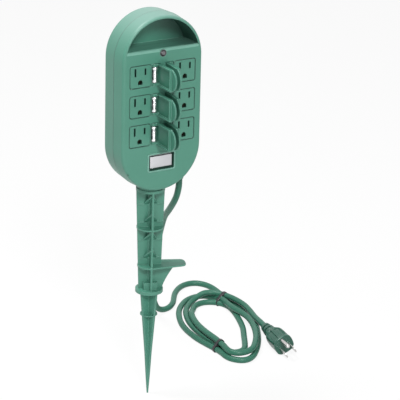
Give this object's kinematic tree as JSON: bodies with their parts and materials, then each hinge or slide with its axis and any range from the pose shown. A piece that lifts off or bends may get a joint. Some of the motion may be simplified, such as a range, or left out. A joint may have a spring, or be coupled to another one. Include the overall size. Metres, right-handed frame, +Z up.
{
  "type": "outdoor power stake",
  "caption": "Ground stake with a tall outlet head, flip covers on sprung hinges, light sensor, push button and a hank of cord with a grounded plug.",
  "frame": {"origin": "tip of the ground spike, on the post's axis", "axes": "+Z up along the post, the outlet face towards -Y, +X to the right as seen from the front"},
  "size_m": [0.2842, 0.3214, 0.4703],
  "materials": {
    "green_plastic": "fine moulded grain, satin",
    "spring_steel": "bright zinc-plated wire",
    "steel": "plated",
    "carrier_plastic": "moulded, satin",
    "brass": "stamped",
    "cord_vinyl": "glossy vinyl",
    "nickel_blades": "nickel-plated",
    "tie_vinyl": "vinyl-covered wire",
    "gasket_rubber": "matte",
    "lens": "smoked, glossy",
    "photocell": "glazed ceramic",
    "circuit_board": "lacquered",
    "component_plastic": "moulded",
    "lead_insulation": "vinyl",
    "silver_panel": "silver paint, satin"
  },
  "bodies": {
    "head": {"front_shell": "green_plastic", "rear_shell": "green_plastic", "housing_gasket": "gasket_rubber", "housing_screws": "steel", "outlet_face_1": "green_plastic", "outlet_face_2": "green_plastic", "outlet_face_3": "green_plastic", "outlet_face_4": "green_plastic", "outlet_face_5": "green_plastic", "outlet_face_6": "green_plastic", "hinge_pin_1": "steel", "hinge_pin_2": "steel", "hinge_pin_3": "steel", "hinge_pin_4": "steel", "hinge_pin_5": "steel", "hinge_pin_6": "steel", "lid_spring_1": "spring_steel", "lid_spring_2": "spring_steel", "lid_spring_3": "spring_steel", "lid_spring_4": "spring_steel", "lid_spring_5": "spring_steel", "lid_spring_6": "spring_steel", "contact_carrier_left": "carrier_plastic", "contact_carrier_right": "carrier_plastic", "neutral_bus": "brass", "hot_bus": "brass", "ground_bus": "brass", "sensor_lens": "lens", "photocell": "photocell", "circuit_board": "circuit_board", "relay": "component_plastic", "board_parts": "component_plastic", "board_screws": "steel", "inner_leads": "lead_insulation", "button_spring": "spring_steel", "button_switch": "component_plastic", "post_socket": "green_plastic", "strain_relief": "cord_vinyl", "cord_lead": "cord_vinyl", "cord_hank": "cord_vinyl", "cord_tail": "cord_vinyl", "cord_ties": "tie_vinyl", "plug_body": "cord_vinyl", "plug_blades": "nickel_blades", "plug_ground_pin": "nickel_blades"},
    "stake": {"post": "green_plastic", "spike": "green_plastic", "post_retainer": "steel"},
    "button": {"button_cap": "silver_panel"},
    "lid_1": {"lid_1": "green_plastic"},
    "lid_2": {"lid_2": "green_plastic"},
    "lid_3": {"lid_3": "green_plastic"},
    "lid_4": {"lid_4": "green_plastic"},
    "lid_5": {"lid_5": "green_plastic"},
    "lid_6": {"lid_6": "green_plastic"}
  },
  "joints": [
    {"name": "lid_1_hinge", "type": "hinge", "parent": "head", "child": "lid_1", "pos_m": [-0.0102, -0.0216, 0.4024], "axis": [0, 0, 1], "range_deg": [-90, 4]},
    {"name": "lid_2_hinge", "type": "hinge", "parent": "head", "child": "lid_2", "pos_m": [-0.0102, -0.0216, 0.3678], "axis": [0, 0, 1], "range_deg": [-90, 4]},
    {"name": "lid_3_hinge", "type": "hinge", "parent": "head", "child": "lid_3", "pos_m": [-0.0102, -0.0216, 0.3332], "axis": [0, 0, 1], "range_deg": [-90, 4]},
    {"name": "lid_4_hinge", "type": "hinge", "parent": "head", "child": "lid_4", "pos_m": [0.0102, -0.0216, 0.4024], "axis": [0, 0, 1], "range_deg": [0, 94]},
    {"name": "lid_5_hinge", "type": "hinge", "parent": "head", "child": "lid_5", "pos_m": [0.0102, -0.0216, 0.3678], "axis": [0, 0, 1], "range_deg": [0, 94]},
    {"name": "lid_6_hinge", "type": "hinge", "parent": "head", "child": "lid_6", "pos_m": [0.0102, -0.0216, 0.3332], "axis": [0, 0, 1], "range_deg": [0, 94]},
    {"name": "button_press", "type": "slide", "parent": "head", "child": "button", "axis": [0, 1, 0], "range_m": [0, 0.0015], "stiffness_N_per_m": 800, "springref_m": -0.001, "deforming": ["button_spring"]},
    {"name": "post_twist", "type": "hinge", "parent": "head", "child": "stake", "pos_m": [0, 0, 0.2613], "axis": [0, 0, 1], "range_deg": [-90, 90]}
  ]
}
